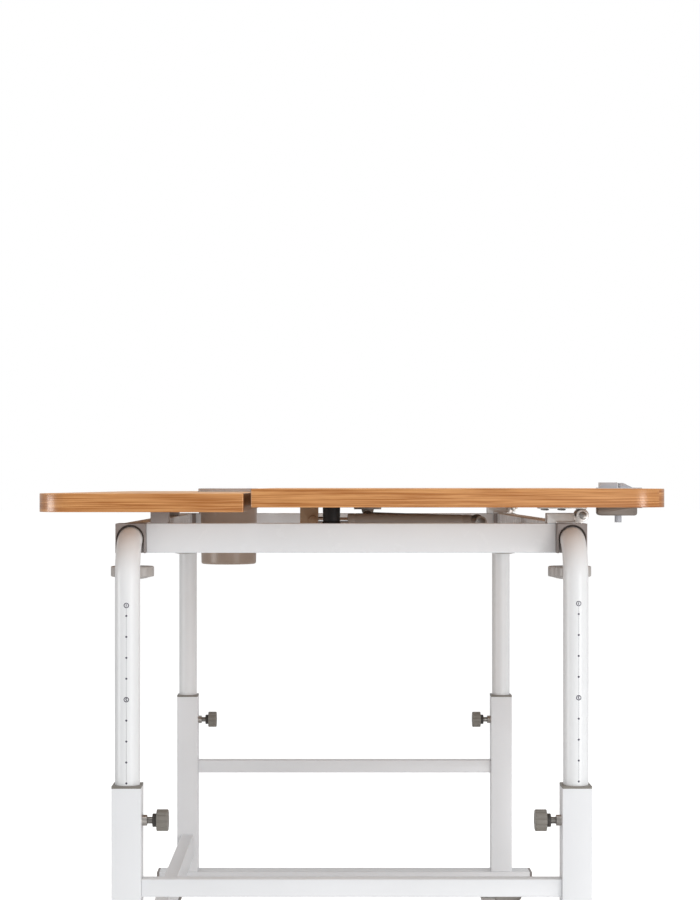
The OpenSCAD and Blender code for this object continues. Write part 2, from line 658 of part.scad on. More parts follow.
// Hand knobs under the corner blocks
module corner_knob(sx, sy) {
  tip = arm_z - leg_d / 2 - seat;
  low = block_z - corner_stem - corner_knob_t;
  color(knob_grey) translate([sx * block_x, sy * leg_y, 0]) {
    translate([0, 0, low + corner_knob_t - 1]) cylinder(d = corner_screw_d, h = tip - low - corner_knob_t + 1);
    translate([0, 0, low]) rotate_extrude($fn = 96) polygon([
      [0, 0], [corner_knob_d / 2 - 2, 0], [corner_knob_d / 2, 2], [corner_knob_d / 2, corner_knob_t - 2],
      [corner_knob_d / 2 - 2, corner_knob_t], [0, corner_knob_t]
    ]);
  }
}

// Cup that drops into the shelf
module cup() {
  ri = cup_d / 2 - cup_wall;
  bottom = shelf_top - cup_depth;
  rim = shelf_top + cup_rim;
  under = shelf_top - rebate + seat;
  color([0.62, 0.57, 0.53]) translate([cup_x, cup_y, 0]) rotate_extrude($fn = 96) polygon([
    [0, bottom], [cup_d / 2 - 6, bottom], [cup_d / 2 - 2, bottom + 2], [cup_d / 2, bottom + 7], [cup_top_d / 2, under],
    [cup_flange_d / 2, under], [cup_flange_d / 2, rim - 2], [cup_flange_d / 2 - 2, rim], [ri, rim],
    [ri, bottom + cup_wall + 4], [ri - 4, bottom + cup_wall], [0, bottom + cup_wall]
  ]);
}

// Tilting top

// Stop fitting near the left front corner
stop_x = -block_x;
stop_y = front_y + stop_in;
stop_nose = 16;
slot_play = 0.8;
plate_z = board_z - 1;
plate_t = 3;
stem_y = stop_y - stop_d / 2 - 2;
fit_rear = stop_y + stop_d / 2 + 2.5;
fit_front = stem_y - 21.5;
house_h = stop_travel + 5;
bezel_out = 4;
fit_lip = 6;

module tilt_board() {
  color(wood) difference() {
    translate([0, front_y, board_z]) linear_extrude(board_t) board_outline(desk_w, tilt_d, front_corner_r, -1);
    span([stop_x - stop_w / 2 - slot_play, stop_y - stop_d / 2 - slot_play, board_z - eps],
         [stop_x + stop_w / 2 + slot_play, stop_y + stop_d / 2 + slot_play, desk_h + eps]);
    span([stop_x - stop_w / 2 - bezel_out - seat, fit_front - fit_lip - seat, desk_h - rebate],
         [stop_x + stop_w / 2 + bezel_out + seat, fit_rear + seat, desk_h + eps]);
    span([stop_x - stop_w / 2 - slot_play, stem_y - stop_stem_d / 2 - slot_play, board_z - eps],
         [stop_x + stop_w / 2 + slot_play, stop_y, plate_z + plate_t + slot_play]);
  }
}

// Thin bezel with a sloped nose in front of the stop
module stop_bezel() {
  color(satin_grey) translate([stop_x, 0, desk_h]) difference() {
    union() {
      span([-stop_w / 2 - bezel_out, fit_front - fit_lip, -rebate], [stop_w / 2 + bezel_out, fit_rear, 1.2]);
      translate([-stop_w / 2, 0, 0]) rotate([90, 0, 90]) linear_extrude(stop_w)
        polygon([[stem_y - slot_play - stop_nose, 1], [stem_y - slot_play, 1], [stem_y - slot_play, stop_h - 0.5],
                 [stem_y - slot_play - 4, stop_h - 0.5]]);
    }
    span([-stop_w / 2 - slot_play, stem_y - slot_play, -rebate - eps],
         [stop_w / 2 + slot_play, stop_y + stop_d / 2 + slot_play, 2 * eps + 1.2]);
  }
}

// Housing under the board: a shell with a hole for the stem
module stop_housing() {
  wall = 2;
  color(satin_grey) translate([stop_x, 0, board_z]) difference() {
    union() {
      span([-stop_w / 2 - bezel_out, fit_front, -house_h], [stop_w / 2 + bezel_out, fit_rear, 0]);
      span([-stop_w / 2 - bezel_out, fit_front - fit_lip, -1.8], [stop_w / 2 + bezel_out, fit_front + 1, 0]);
    }
    span([-stop_w / 2 - slot_play, fit_front + wall, -house_h + wall], [stop_w / 2 + slot_play, fit_rear - 1.2, eps]);
    translate([0, stem_y, -house_h - eps]) cylinder(d = stop_stem_d + 0.8, h = wall + 2 * eps);
  }
}

// Stop: block through the board, foot plate inside the housing and a stem below
module stop_block() {
  color(satin_grey) translate([stop_x, 0, 0]) {
    span([-stop_w / 2, stop_y - stop_d / 2, plate_z], [stop_w / 2, stop_y + stop_d / 2, desk_h + stop_h]);
    span([-stop_w / 2, stem_y - stop_stem_d / 2, plate_z], [stop_w / 2, stop_y, plate_z + plate_t]);
    translate([0, stem_y, board_z - house_h - 8.5]) cylinder(d = stop_stem_d, h = house_h + 8.5);
  }
}

// Upper bracket of the gas spring, under the board, with a bolt head and a nut on its ears
module gas_lug() {
  gap = gas_eye_w + 1;
  half = gap / 2 + link_t;
  color(zinc) {
    ears(gas_x, gap, gas_a, board_z - link_t);
    for (s = [-1, 1]) translate([gas_x + s * (gap / 2 + link_t / 2) - link_t / 2, 0, 0])
      span([0, gas_a[0], gas_a[1] - 5], [link_t, gas_a[0] + gas_lug_rear, board_z - link_t]);
    span([gas_x - half, gas_a[0] - 24, board_z - link_t], [gas_x + half, gas_a[0] + gas_lug_rear + 16, board_z]);
    for (s = [-1, 1]) bar_x(gas_x + s * (half + 1.5), gas_a[0], gas_a[1], bolt_d + 4, 3.02);
  }
}

// Upright plate for the stay's upper link, under the board, with its rivet
module stay_lug() {
  color(zinc) {
    link_bar([stay_b[0], board_z - 9], stay_b, link_w, stay_lug_x, link_t);
    span([stay_lug_x, stay_b[0] - 20, board_z - 9], [stay_lug_x + link_t, stay_b[0] + 20, board_z]);
    span([stay_lug_x, stay_b[0] - 20, board_z - link_t], [stay_lug_x + 16, stay_b[0] + 20, board_z]);
    bar_x(stay_lug_x + link_t / 2 - 2.2, stay_b[0], stay_b[1], bolt_d, link_t + 6);
  }
}

// Pan head screws of the brackets and hinge leaves
module lug_screws() {
  under = [for (y = [-17, gas_lug_rear + 9]) [gas_x, gas_a[0] + y, link_t],
           for (s = [-1, 1]) [stay_lug_x + 10, stay_b[0] + s * 13, link_t],
           for (sx = [-1, 1], sy = [0.42, 0.78], s = [-1, 1]) [sx * block_x + s * 11, hinge[0] + sy * leaf_len, leaf_t]];
  color("silver") for (p = under) translate([p[0], p[1], board_z - p[2] - 2.4]) union() {
    cylinder(d = 5, h = 1.2);
    translate([0, 0, 1]) cylinder(d = 8, h = 1.4);
  }
}

// Gas spring, drawn along +Y from its lower pivot. At the largest tilt the rod is still guided over half the cylinder
rod_in = gas_cyl_len / 2 - gas_stroke;
module along_gas() { translate([gas_x, gas_f[0], gas_f[1]]) rotate([gas_rest, 0, 0]) children(); }
module gas_cylinder() {
  color("gray") along_gas() difference() {
    union() {
      bar_x(0, 0, 0, eye_d, gas_eye_w);
      rotate([-90, 0, 0]) cylinder(d = 9, h = 16);
      translate([0, 14, 0]) rotate([-90, 0, 0]) cylinder(d = gas_cyl_d, h = gas_cyl_len - 14, $fn = 96);
    }
    bar_x(0, 0, 0, bolt_d + pin_play, gas_eye_w + 2 * eps);
    translate([0, rod_in - 10, 0]) rotate([-90, 0, 0]) cylinder(d = gas_rod_d + 0.6, h = gas_cyl_len);
  }
}
module gas_rod() {
  color("silver") along_gas() {
    translate([0, rod_in, 0]) rotate([-90, 0, 0]) cylinder(d = gas_rod_d, h = gas_len - rod_in - eye_d / 2);
    translate([0, gas_len - rod_out / 2, 0]) rotate([-90, 0, 0]) cylinder(d = gas_eye_w - 1, h = rod_out / 2 - 5);
    translate([0, gas_len, 0]) bar_x(0, 0, 0, eye_d, gas_eye_w);
  }
}

// Stay links
module stay_lower_link() {
  color("gray") difference() {
    link_bar(stay_g, stay_e, link_w, stay_low_x, link_t);
    bar_x(stay_low_x + link_t / 2, stay_g[0], stay_g[1], bolt_d + pin_play, link_t + 2 * eps);
    bar_x(stay_low_x + link_t / 2, stay_e[0], stay_e[1], bolt_d + pin_play, link_t + 2 * eps);
  }
}
module stay_upper_link() {
  reach = stay_up_x - stay_low_x - link_t - seat;
  color("dimgray") difference() {
    union() {
      link_bar(stay_b, stay_e, link_w, stay_up_x, link_t);
      translate([stay_up_x - reach, stay_e[0], stay_e[1]]) rotate([0, 90, 0]) cylinder(d = bolt_d + 4, h = reach + link_t + 2);
    }
    bar_x(stay_up_x + link_t / 2, stay_b[0], stay_b[1], bolt_d + pin_play, link_t + 2 * eps);
  }
}

sleeve(-1, -1);  // sleeve_fl
sleeve(1, -1);  // sleeve_fr
sleeve(-1, 1);  // sleeve_rl
sleeve(1, 1);  // sleeve_rr
sleeve_caps();
foot(-1);  // foot_left
foot(1);  // foot_right
foot_caps();
side_stretchers();
rear_beam();
castor_sockets();
castor_fork(-1, -1, true);  // castor_fork_fl
castor_fork(1, -1, true);  // castor_fork_fr
castor_fork(-1, 1, false);  // castor_fork_rl
castor_fork(1, 1, false);  // castor_fork_rr
castor_wheel(-1, -1);  // castor_wheel_fl
castor_wheel(1, -1);  // castor_wheel_fr
castor_wheel(-1, 1);  // castor_wheel_rl
castor_wheel(1, 1);  // castor_wheel_rr
brake_pedal(-1);  // brake_pedal_fl
brake_pedal(1);  // brake_pedal_fr
sleeve_knob(-1, -1);  // sleeve_knob_fl
sleeve_knob(1, -1);  // sleeve_knob_fr
sleeve_knob(-1, 1);  // sleeve_knob_rl
sleeve_knob(1, 1);  // sleeve_knob_rr
leg(-1, -1);  // leg_fl
leg(1, -1);  // leg_fr
leg(-1, 1);  // leg_rl
leg(1, 1);  // leg_rr
corner_blocks();
side_rail(-1);  // side_rail_left
side_rail(1);  // side_rail_right
long_rail(-1);  // long_rail_front
long_rail(1);  // long_rail_rear
channel();
gas_bracket();
stay_bracket();
frame_pins();
bumpers();
shelf_spacers();
shelf();
hinge_bases();
hinge_pins();
corner_knob(-1, -1);  // corner_knob_fl
corner_knob(1, -1);  // corner_knob_fr
corner_knob(-1, 1);  // corner_knob_rl
corner_knob(1, 1);  // corner_knob_rr
cup();
tilt_board();
hinge_leaves();
gas_lug();
stay_lug();
lug_screws();
stop_bezel();
stop_housing();
stop_block();
gas_cylinder();
gas_rod();
stay_lower_link();
stay_upper_link();
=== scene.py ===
"""Looks of a height adjustable tilting desk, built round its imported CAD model. All lengths are in metres."""

import json
import math

import bmesh
import bpy
import numpy as np
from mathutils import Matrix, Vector
from mathutils.geometry import tessellate_polygon


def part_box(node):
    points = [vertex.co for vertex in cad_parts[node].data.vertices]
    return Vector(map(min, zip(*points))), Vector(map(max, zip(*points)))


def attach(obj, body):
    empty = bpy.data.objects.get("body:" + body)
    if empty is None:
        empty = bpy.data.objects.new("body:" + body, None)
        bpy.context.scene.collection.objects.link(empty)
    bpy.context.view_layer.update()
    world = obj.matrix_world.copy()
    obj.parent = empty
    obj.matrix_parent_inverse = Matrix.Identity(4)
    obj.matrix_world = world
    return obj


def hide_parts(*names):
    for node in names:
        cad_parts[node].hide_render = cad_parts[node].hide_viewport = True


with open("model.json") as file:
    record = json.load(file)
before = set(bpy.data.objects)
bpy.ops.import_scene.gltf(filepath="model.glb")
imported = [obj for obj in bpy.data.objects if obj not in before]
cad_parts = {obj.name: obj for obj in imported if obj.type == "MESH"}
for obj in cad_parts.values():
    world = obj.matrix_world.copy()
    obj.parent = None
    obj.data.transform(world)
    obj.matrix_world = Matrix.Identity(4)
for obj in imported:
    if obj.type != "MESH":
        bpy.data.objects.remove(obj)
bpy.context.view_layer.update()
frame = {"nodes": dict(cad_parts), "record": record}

CORNERS = ("fl", "fr", "rl", "rr")
TAU = 2 * math.pi


# Node groups and materials


def make_group(name, inputs, outputs):
    """An empty shader group with named sockets. inputs maps a name to (socket type, default)."""
    tree = bpy.data.node_groups.new(name, "ShaderNodeTree")
    for label, (kind, default) in inputs.items():
        socket = tree.interface.new_socket(label, in_out="INPUT", socket_type="NodeSocket" + kind)
        if default is not None:
            socket.default_value = default
    for label, kind in outputs.items():
        tree.interface.new_socket(label, in_out="OUTPUT", socket_type="NodeSocket" + kind)
    return tree, tree.nodes.new("NodeGroupInput").outputs, tree.nodes.new("NodeGroupOutput").inputs


def feed(tree, socket, value):
    """Links a socket to another one, or gives it a plain value."""
    if isinstance(value, bpy.types.NodeSocket):
        tree.links.new(value, socket)
    else:
        socket.default_value = value


def add(tree, kind, settings=(), **sockets):
    """A node with its settings and sockets.
    A socket goes by its name, with _ for a space, or by i and its number."""
    node = tree.nodes.new("ShaderNode" + kind)
    for key, value in dict(settings).items():
        setattr(node, key, value)
    for key, value in sockets.items():
        numbered = key[0] == "i" and key[1:].isdigit()
        feed(tree, node.inputs[int(key[1:]) if numbered else key.replace("_", " ")], value)
    return node


def blend_colours(tree, factor, first, second):
    """Colour that goes from first to second with the factor, through the Mix node's colour sockets."""
    return add(tree, "Mix", {"data_type": "RGBA"}, i0=factor, i6=first, i7=second).outputs[2]


def spread(tree, value, low, high, to_low=0.0, to_high=1.0):
    """Value mapped from one range to another and clamped."""
    return add(tree, "MapRange", i0=value, i1=low, i2=high, i3=to_low, i4=to_high).outputs[0]


def make_patina():
    """Group: slow change of tone, fine grit for bump and rubbed patches for roughness."""
    tree, given, out = make_group(
        "patina",
        {"Vector": ("Vector", None), "Tone": ("Color", None), "Shade": ("Color", None),
         "Patch Size": ("Float", 6.0), "Grit Size": ("Float", 900.0)},
        {"Color": "Color", "Height": "Float", "Rub": "Float"})
    slow = add(tree, "TexNoise", Vector=given["Vector"], Scale=given["Patch Size"],
               Detail=5.0, Roughness=0.55)
    grit = add(tree, "TexNoise", Vector=given["Vector"], Scale=given["Grit Size"], Detail=2.0)
    streak = add(tree, "Mapping", Vector=given["Vector"], Scale=(90.0, 30.0, 30.0), Rotation=(0.4, 0.7, 0.2))
    rub = add(tree, "TexNoise", Vector=streak.outputs[0], Scale=1.0, Detail=6.0, Roughness=0.7)
    shaded = blend_colours(tree, spread(tree, slow.outputs[0], 0.35, 0.68), given["Tone"], given["Shade"])
    tree.links.new(shaded, out["Color"])
    tree.links.new(grit.outputs[0], out["Height"])
    tree.links.new(spread(tree, rub.outputs[0], 0.45, 0.75), out["Rub"])
    return tree


def make_timber():
    """Group: long grain as stretched noise in two widths, with dark pores.
    Figure stretches it along each axis."""
    tree, given, out = make_group(
        "timber",
        {"Vector": ("Vector", None), "Figure": ("Vector", (1.0, 1.0, 1.0)), "Pale": ("Color", None),
         "Deep": ("Color", None), "Pore": ("Color", None)},
        {"Color": "Color", "Height": "Float"})
    stretched = add(tree, "VectorMath", {"operation": "MULTIPLY"}, i0=given["Vector"], i1=given["Figure"])
    drift = add(tree, "TexNoise", Vector=given["Vector"], Scale=2.3, Detail=2.0)
    eased = add(tree, "VectorMath", {"operation": "MULTIPLY"}, i0=drift.outputs[1], i1=(0.5, 0.5, 0.5))
    bent = add(tree, "VectorMath", {"operation": "ADD"}, i0=stretched.outputs[0], i1=eased.outputs[0])
    bands = add(tree, "TexNoise", Vector=bent.outputs[0], Scale=1.0,
                Detail=3.0, Roughness=0.55, Distortion=0.25)
    fine = add(tree, "VectorMath", {"operation": "MULTIPLY"}, i0=bent.outputs[0], i1=(1.6, 4.0, 4.0))
    pores = add(tree, "TexNoise", Vector=fine.outputs[0], Scale=1.0, Detail=4.0, Roughness=0.7)
    colour = blend_colours(tree, spread(tree, bands.outputs[0], 0.38, 0.62), given["Deep"], given["Pale"])
    dark = spread(tree, pores.outputs[0], 0.60, 0.74, 0.0, 0.75)
    tree.links.new(blend_colours(tree, dark, colour, given["Pore"]), out["Color"])
    tree.links.new(spread(tree, dark, 0.0, 0.75, 1.0, 0.0), out["Height"])
    return tree


PATINA, TIMBER = make_patina(), make_timber()


def linear(r, g, b):
    """Linear colour from the 0 to 255 values of a screen."""
    bare = [v / 255 / 12.92 if v < 11 else ((v / 255 + 0.055) / 1.055) ** 2.4 for v in (r, g, b)]
    return (*bare, 1.0)


def start_material(name, **shader):
    """Material with a Principled shader and Object coordinates. Shader sockets take plain values."""
    made = bpy.data.materials.new(name)
    made.use_nodes = True
    tree = made.node_tree
    tree.nodes.clear()
    principled = add(tree, "BsdfPrincipled")
    for label, value in shader.items():
        principled.inputs[label.replace("_", " ")].default_value = value
    tree.links.new(principled.outputs[0], add(tree, "OutputMaterial").inputs[0])
    return made, tree, principled.inputs, add(tree, "TexCoord").outputs["Object"]


def use(tree, group, **sockets):
    """A placed group node with its sockets linked or set."""
    node = tree.nodes.new("ShaderNodeGroup")
    node.node_tree = group
    for key, value in sockets.items():
        feed(tree, node.inputs[key.replace("_", " ")], value)
    return node.outputs


def finish(name, tone, shade, rough, bump=0.02, patch=6.0, grit=900.0, rub=0.10, **shader):
    """Paint, plastic, rubber or metal: patina drives colour, a fine bump and roughness, which goes from rough
    to rough + rub."""
    made, tree, sockets, spot = start_material(name, **shader)
    worn = use(tree, PATINA, Vector=spot, Tone=linear(*tone), Shade=linear(*shade),
               Patch_Size=patch, Grit_Size=grit)
    tree.links.new(worn["Color"], sockets["Base Color"])
    tree.links.new(spread(tree, worn["Rub"], 0.0, 1.0, rough, rough + rub), sockets["Roughness"])
    relief = add(tree, "Bump", Strength=bump, Distance=0.0004, Height=worn["Height"])
    tree.links.new(relief.outputs[0], sockets["Normal"])
    return made


def wood_finish(name, figure, pale, deep, pore, rough, coat, gloss):
    """Wood-look laminate with grain along the axis whose figure is small but not zero.
    coat is the coat's weight and gloss its roughness."""
    made, tree, sockets, spot = start_material(
        name, Coat_Weight=coat, Coat_Roughness=gloss, Specular_IOR_Level=0.3)
    grain = use(tree, TIMBER, Vector=spot, Figure=figure,
                Pale=linear(*pale), Deep=linear(*deep), Pore=linear(*pore))
    tree.links.new(grain["Color"], sockets["Base Color"])
    tree.links.new(spread(tree, grain["Height"], 0.0, 1.0, rough + 0.12, rough), sockets["Roughness"])
    relief = add(tree, "Bump", Strength=0.15, Distance=0.0003, Height=grain["Height"])
    tree.links.new(relief.outputs[0], sockets["Normal"])
    return made


# Each finish has a tone and a shade in screen values, roughness, strength of the bump, patch size, grit size
# and rub, then what its shader needs besides
white_enamel = finish("white_enamel", (234, 237, 240), (228, 231, 234), 0.26, 0.006, 3.0, 500.0, 0.03,
                      Specular_IOR_Level=0.2, Coat_Weight=0.12, Coat_Roughness=0.14)
tube_enamel = finish("tube_enamel", (239, 240, 241), (234, 235, 236), 0.30, 0.006, 3.0, 500.0, 0.03,
                     Specular_IOR_Level=0.2, Coat_Weight=0.06, Coat_Roughness=0.18)
sleeve_enamel = finish("sleeve_enamel", (239, 240, 242), (233, 234, 236), 0.34, 0.015, 4.0, 700.0, 0.04)
block_plastic = finish("block_plastic", (153, 145, 142), (142, 134, 131), 0.48, 0.06, 9.0, 1400.0, 0.12)
knob_plastic = finish("knob_plastic", (184, 179, 175), (175, 170, 166), 0.36, 0.06, 9.0, 1400.0, 0.12)
clamp_plastic = finish("clamp_plastic", (134, 129, 122), (122, 117, 110), 0.40, 0.06, 9.0, 1400.0, 0.12)
knob_dark = finish("knob_dark", (66, 62, 58), (54, 50, 47), 0.46, 0.06, 9.0, 1400.0, 0.12)
cup_plastic = finish("cup_plastic", (171, 152, 137), (164, 145, 131), 0.30, 0.02, 4.0, 1100.0, 0.05,
                     Specular_IOR_Level=0.3)
rim_plastic = finish("rim_plastic", (194, 185, 181), (184, 175, 171), 0.24, 0.02, 6.0, 1100.0, 0.06)
housing_plastic = finish("housing_plastic", (152, 141, 132), (142, 132, 124), 0.36, 0.03, 9.0, 1200.0, 0.08)
stop_plastic = finish("stop_plastic", (188, 191, 198), (178, 180, 187), 0.36, 0.03, 9.0, 1200.0, 0.10)
bright_zinc = finish("bright_zinc", (216, 213, 210), (198, 194, 190), 0.34, 0.01, 20.0, 800.0, 0.06,
                     Metallic=0.7)
zinc_sheet = finish("zinc_sheet", (186, 182, 178), (158, 153, 148), 0.30, 0.05, 28.0, 800.0, 0.18,
                    Metallic=0.9)
bolt_steel = finish("bolt_steel", (150, 147, 143), (116, 112, 108), 0.26, 0.04, 40.0, 1200.0, 0.16,
                    Metallic=1.0)
link_steel = finish("link_steel", (112, 102, 94), (88, 80, 74), 0.36, 0.06, 22.0, 700.0, 0.18, Metallic=0.8)
lug_steel = finish("lug_steel", (146, 116, 88), (126, 99, 74), 0.38, 0.03, 18.0, 700.0, 0.10, Metallic=0.4)
spring_paint = finish("spring_paint", (153, 141, 131), (141, 129, 120), 0.30, 0.02, 8.0, 600.0, 0.08)
rod_chrome = finish("rod_chrome", (205, 205, 206), (188, 188, 190), 0.08, 0.01, 12.0, 900.0, 0.05,
                    Metallic=1.0)
bumper_rubber = finish("bumper_rubber", (26, 24, 24), (20, 18, 18), 0.55, 0.12, 14.0, 1600.0, 0.14,
                       Specular_IOR_Level=0.2)
tyre_rubber = finish("tyre_rubber", (74, 72, 71), (60, 58, 57), 0.58, 0.12, 14.0, 1500.0, 0.16)
mark_ink = finish("mark_ink", (70, 66, 84), (62, 58, 74), 0.5, 0.02)
# Painted shadow for the gap where each leg enters its corner block
gap_shadow_paint = finish("gap_shadow_paint", (62, 52, 46), (48, 40, 36), 0.7, 0.05)
underlay = finish("underlay", (190, 146, 108), (178, 134, 98), 0.55, 0.10, 5.0, 1500.0, 0.10)

# Each face of a board has its figure along x, y and z, three tones, roughness, coat and gloss
EDGE_TONES = ((211, 149, 88), (166, 99, 34), (125, 68, 20))
side_edge = wood_finish("side_edge", (0.0, 9.0, 560.0), *EDGE_TONES, 0.38, 0.65, 0.24)
front_edge = wood_finish("front_edge", (9.0, 0.0, 560.0), *EDGE_TONES, 0.38, 0.65, 0.24)
# Painted shade: the edge band that faces the narrow gap between the boards is the same wood, made darker
# because the gap lies in shadow
gap_shade_edge = wood_finish("gap_shade_edge", (9.0, 0.0, 560.0), (146, 98, 52), (116, 72, 35), (90, 53, 26),
                         0.45, 0.2, 0.35)
top_face = wood_finish("top_face", (5.0, 130.0, 0.0), (216, 166, 112), (194, 140, 88), (158, 106, 62),
                       0.44, 0.12, 0.34)
BOARD_COATS = [side_edge, front_edge, top_face, underlay, gap_shade_edge]
SIDE, FRONT, UPPER, UNDER, GAP_SHADE = range(len(BOARD_COATS))


# Shapes

WELD = 1e-6


def build(name, verts, faces, smooth_angle=38.0, kinds=None):
    """Mesh object from points and faces, which are turned outwards. Doubles are welded, edges over
    smooth_angle stay sharp, and kinds are the faces' material numbers."""
    mesh = bpy.data.meshes.new(name)
    mesh.from_pydata(verts, [], faces)
    if kinds is not None:
        mesh.polygons.foreach_set("material_index", np.asarray(kinds, np.int32))
    work = bmesh.new()
    work.from_mesh(mesh)
    bmesh.ops.remove_doubles(work, verts=work.verts, dist=WELD)
    bmesh.ops.dissolve_degenerate(work, edges=work.edges, dist=1e-7)
    bmesh.ops.recalc_face_normals(work, faces=work.faces)
    work.to_mesh(mesh)
    work.free()
    mesh.shade_smooth()
    mesh.set_sharp_from_angle(angle=math.radians(smooth_angle))
    made = bpy.data.objects.new(name, mesh)
    bpy.context.scene.collection.objects.link(made)
    return made


def quads(rows, cols, wrap_rows=False, wrap_cols=False):
    """Corner numbers of the faces of a grid of rows x cols points, joined round where it wraps."""
    r, c = np.meshgrid(np.arange(rows - (not wrap_rows)), np.arange(cols - (not wrap_cols)), indexing="ij")
    r2, c2 = (r + 1) % rows, (c + 1) % cols
    return np.stack([r * cols + c, r * cols + c2, r2 * cols + c2, r2 * cols + c], -1).reshape(-1, 4)


def join(*grids):
    """Points and faces of several grids, each (points, wrap_rows, wrap_cols)."""
    points, faces, base = [], [], 0
    for grid, wrap_rows, wrap_cols in grids:
        rows, cols = grid.shape[:2]
        points.append(grid.reshape(-1, 3))
        faces.append(quads(rows, cols, wrap_rows, wrap_cols) + base)
        base += rows * cols
    return np.concatenate(points), np.concatenate(faces)


def surface(name, *grids):
    """Mesh object made of one or more grids."""
    points, faces = join(*grids)
    return build(name, points.tolist(), faces.tolist())


BODY = {node: body for body, nodes in frame["record"]["behaviour"]["bodies"].items() for node in nodes}


def place(piece, finishes, body, *nodes, slot=None):
    """Gives a piece its finishes, its body and the CAD nodes that it stands for."""
    for one in finishes if isinstance(finishes, (list, tuple)) else [finishes]:
        piece.data.materials.append(one)
    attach(piece, body)
    if nodes:
        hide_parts(*nodes)
    return piece


def axis_frame(axis):
    """Two unit vectors square to the axis, and the axis."""
    w = np.asarray(axis, float) / np.linalg.norm(axis)
    u = np.cross(w, (0.0, 0.0, 1.0) if abs(w[2]) < 0.9 else (0.0, 1.0, 0.0))
    u /= np.linalg.norm(u)
    return u, np.cross(w, u), w


def turned(profile, centre, axis, steps=64, rim=None):
    """Grid: rows of (radius, height) turned about the axis through centre.
    rim(angle, radius, height) gives a new radius."""
    u, v, w = axis_frame(axis)
    r, h = np.asarray(profile, float).T[:, :, None]
    a = np.linspace(0, TAU, steps, endpoint=False)[None, :]
    r = np.broadcast_to(r, (len(profile), steps)) if rim is None else rim(a, r, h)
    h = np.broadcast_to(h, r.shape)
    points = np.asarray(centre, float) + (r * np.cos(a))[..., None] * u
    return points + (r * np.sin(a))[..., None] * v + h[..., None] * w, False, True


def arc(centre_r, centre_h, radius, start, end, steps=6):
    """Profile rows (radius, height) along a circular arc, in degrees from the outward direction."""
    a = np.radians(np.linspace(start, end, steps))
    return [(centre_r + radius * math.cos(t), centre_h + radius * math.sin(t)) for t in a]


def barrel(radius, low, high, edge, bore=0.0):
    """Closed profile of a cylinder with rounded rims, from the axis or bore out and back."""
    return ([(bore, low)] + arc(radius - edge, low + edge, edge, -90, 0, 5)
            + arc(radius - edge, high - edge, edge, 0, 90, 5) + [(bore, high)])


FLAT_ANGLE, ROUND_ANGLE = math.radians(0.6), math.radians(40)


def softened(node, width, finishes, accent=None, picked=None):
    """Copy of a CAD solid with facets merged below FLAT_ANGLE and edges rounded above ROUND_ANGLE.
    accent(centre) picks the faces of the second finish; picked(a, b) picks the only edges that are rounded,
    by their ends."""
    source = frame["nodes"][node]
    piece = bpy.data.objects.new(node + "_soft", source.data.copy())
    bpy.context.scene.collection.objects.link(piece)
    piece.data.materials.clear()
    work = bmesh.new()
    work.from_mesh(piece.data)
    bmesh.ops.remove_doubles(work, verts=work.verts, dist=WELD)
    bmesh.ops.dissolve_limit(work, angle_limit=FLAT_ANGLE, verts=work.verts, edges=work.edges)
    work.to_mesh(piece.data)
    work.free()
    piece.data.shade_smooth()
    for face in piece.data.polygons if accent else ():
        face.material_index = int(accent(face.center))
    rounding = piece.modifiers.new("rounding", "BEVEL")
    rounding.width, rounding.segments, rounding.limit_method = width, 2, "ANGLE"
    rounding.angle_limit = ROUND_ANGLE
    rounding.harden_normals = True
    if picked:
        rounding.limit_method = "WEIGHT"
        weights = piece.data.attributes.new("bevel_weight_edge", "FLOAT", "EDGE")
        for edge, weight in zip(piece.data.edges, weights.data):
            weight.value = float(picked(*(piece.data.vertices[i].co for i in edge.vertices)))
    return place(piece, finishes, BODY[node], node)


# Camera, light and floor

PHOTO_LONG_SIDE, FOCAL_PIXELS, AXIS_PIXEL, CENTRE_PIXEL = 900, 2068, (327.8, 486.5), (350, 450)
SENSOR = 36.0
camera_data = bpy.data.cameras.new("camera")
camera_data.sensor_width = SENSOR
camera_data.lens = FOCAL_PIXELS / PHOTO_LONG_SIDE * SENSOR
camera_data.shift_x = (CENTRE_PIXEL[0] - AXIS_PIXEL[0]) / PHOTO_LONG_SIDE
camera_data.shift_y = (AXIS_PIXEL[1] - CENTRE_PIXEL[1]) / PHOTO_LONG_SIDE
camera = bpy.data.objects.new("camera", camera_data)
camera.location = (-3.009, 0.0285, 0.764)
camera.rotation_euler = (math.radians(90), 0, math.radians(-90))
bpy.context.scene.collection.objects.link(camera)
bpy.context.scene.camera = camera

scene = bpy.context.scene
scene.view_settings.view_transform = "Standard"


def lamp(name, bearing, distance, height, size, power, aim=(0, 0, 0.6), matt=True, gloss=True):
    """Area lamp at a bearing in degrees from -X towards +Y, size (width, height).
    It lights matt surfaces, reflections or both."""
    data = bpy.data.lights.new(name, "AREA")
    data.shape, data.size, data.size_y, data.energy = "RECTANGLE", *size, power
    made = bpy.data.objects.new(name, data)
    turn = math.radians(bearing)
    made.location = (-distance * math.cos(turn), distance * math.sin(turn), height)
    made.rotation_euler = (Vector(aim) - made.location).to_track_quat("-Z", "Y").to_euler()
    made.visible_diffuse, made.visible_glossy = matt, gloss
    bpy.context.scene.collection.objects.link(made)


lamp("right_card", -34, 3.3, 0.49, (0.85, 0.96), 25, (0, 0, 0.49), matt=False)
lamp("left_card", 68, 2.7, 0.49, (1.05, 0.96), 27, (0, 0, 0.49), matt=False)
lamp("overhead", 0, 0.2, 3.2, (2.4, 2.4), 40, (0, 0, 0))
lamp("front_fill", -18, 4.2, 0.8, (2.4, 1.4), 42, gloss=False)
lamp("side_fill", -60, 3.4, 1.2, (2.0, 1.6), 12, gloss=False)

